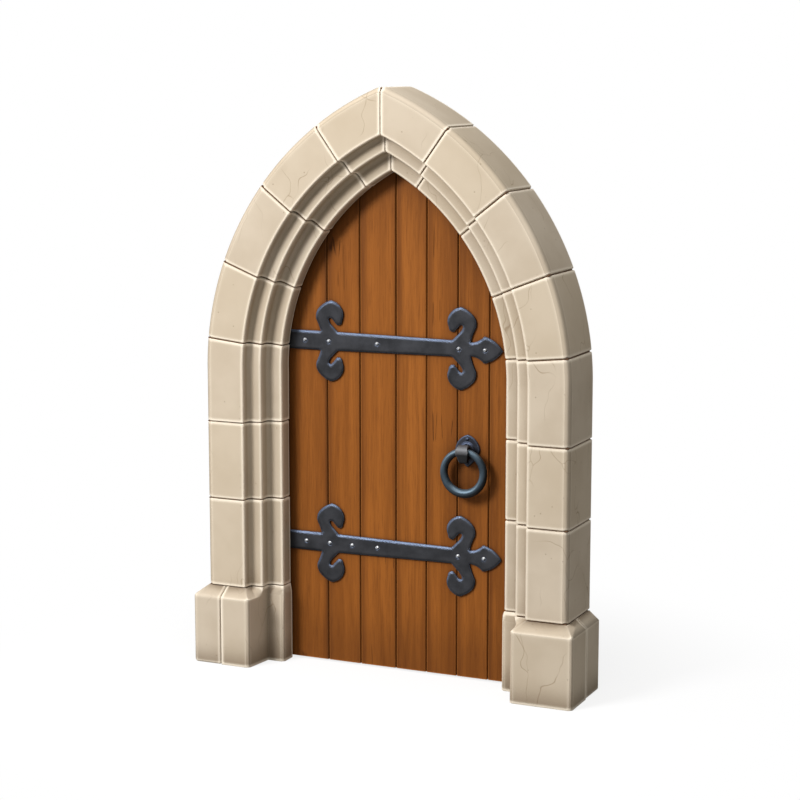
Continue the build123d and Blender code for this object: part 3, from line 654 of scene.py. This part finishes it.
def blend(tree, amount, first, second, output):
    """Sends two shaders, mixed by amount, to a new output node of this kind."""
    mixed = add(tree, "ShaderNodeMixShader", {"Fac": amount})
    tree.links.new(first.outputs[0], mixed.inputs[1])
    tree.links.new(second.outputs[0], mixed.inputs[2])
    tree.links.new(mixed.outputs[0], tree.nodes.new(output).inputs["Surface"])


WHITE = (1.0, 1.0, 1.0, 1.0)
FLOOR_HALF = 14.0
UNDER_THE_DOOR = 0.0005
FLOOR_TONE = paint(150, 148, 144)
NEAR_FLOOR, FAR_FLOOR = 0.7, 1.9
NEAR_GLOW = 0.8
floor_mesh = bpy.data.meshes.new("floor")
floor_level = cad_low.z - UNDER_THE_DOOR
square = ((-1, -1), (1, -1), (1, 1), (-1, 1))
corners = [(x * FLOOR_HALF, y * FLOOR_HALF, floor_level) for x, y in square]
floor_mesh.from_pydata(corners, [], [(0, 1, 2, 3)])
floor = bpy.data.objects.new("floor", floor_mesh)
scene.collection.objects.link(floor)

floor_material = bpy.data.materials.new("pale floor")
floor_material.use_nodes = True
tree = floor_material.node_tree
tree.nodes.clear()
seen = through_lens(tree)
lit = add(tree, "ShaderNodeBsdfDiffuse", {"Color": tint(tree, seen, FLOOR_TONE, WHITE)})
glow = add(tree, "ShaderNodeEmission", {"Color": WHITE, "Strength": 1.0})
where = add(tree, "ShaderNodeNewGeometry").outputs["Position"]
far = ease(tree, vector_calc(tree, "LENGTH", where).outputs["Value"], NEAR_FLOOR, FAR_FLOOR)
glowing = calc(tree, "MULTIPLY_ADD", far, 1 - NEAR_GLOW, NEAR_GLOW)
blend(tree, calc(tree, "MULTIPLY", seen, glowing), lit, glow, "ShaderNodeOutputMaterial")
floor_mesh.materials.append(floor_material)
print("floor at", round(floor_level, 4))

# %% Sky
SKY_LIGHT = 0.30
SKY_TONE = (1.0, 0.99, 0.975, 1.0)
world = bpy.data.worlds.new("studio")
scene.world = world
world.use_nodes = True
tree = world.node_tree
tree.nodes.clear()
soft = add(tree, "ShaderNodeBackground", {"Color": SKY_TONE, "Strength": SKY_LIGHT})
white = add(tree, "ShaderNodeBackground", {"Color": WHITE, "Strength": 1.0})
blend(tree, through_lens(tree), soft, white, "ShaderNodeOutputWorld")
print("sky light", SKY_LIGHT)

# %% [markdown]
# The shadows in the photograph fall to the right and down: the left reveals are dark and the ring
# throws a soft shadow to its right, and the arch is brighter than the plinth. One broad lamp high
# on the front left gives all three. A square lamp near the object fades with distance, which a sun
# does not. A weak one overhead keeps the outside of the arch from going dark.

# %% Lamps
def lamp(name, stand, aim, power, side, colour):
    """A square lamp of this side and power in watts, that stands at one place and points at aim."""
    light = bpy.data.lights.new(name, "AREA")
    light.energy = power
    light.size = side
    light.color = colour
    holder = bpy.data.objects.new(name, light)
    holder.location = stand
    holder.rotation_mode = "QUATERNION"
    holder.rotation_quaternion = (Vector(aim) - Vector(stand)).to_track_quat("-Z", "Y")
    scene.collection.objects.link(holder)


lamp("key", (-4.3, -7.6, 6.2), aim=(0.0, 0.0, 1.4), power=1080.0, side=3.2, colour=(1.0, 0.99, 0.99))
lamp("above", (1.2, -1.4, 7.0), aim=(0.0, 0.0, 1.0), power=150.0, side=3.0, colour=(1.0, 0.99, 0.98))
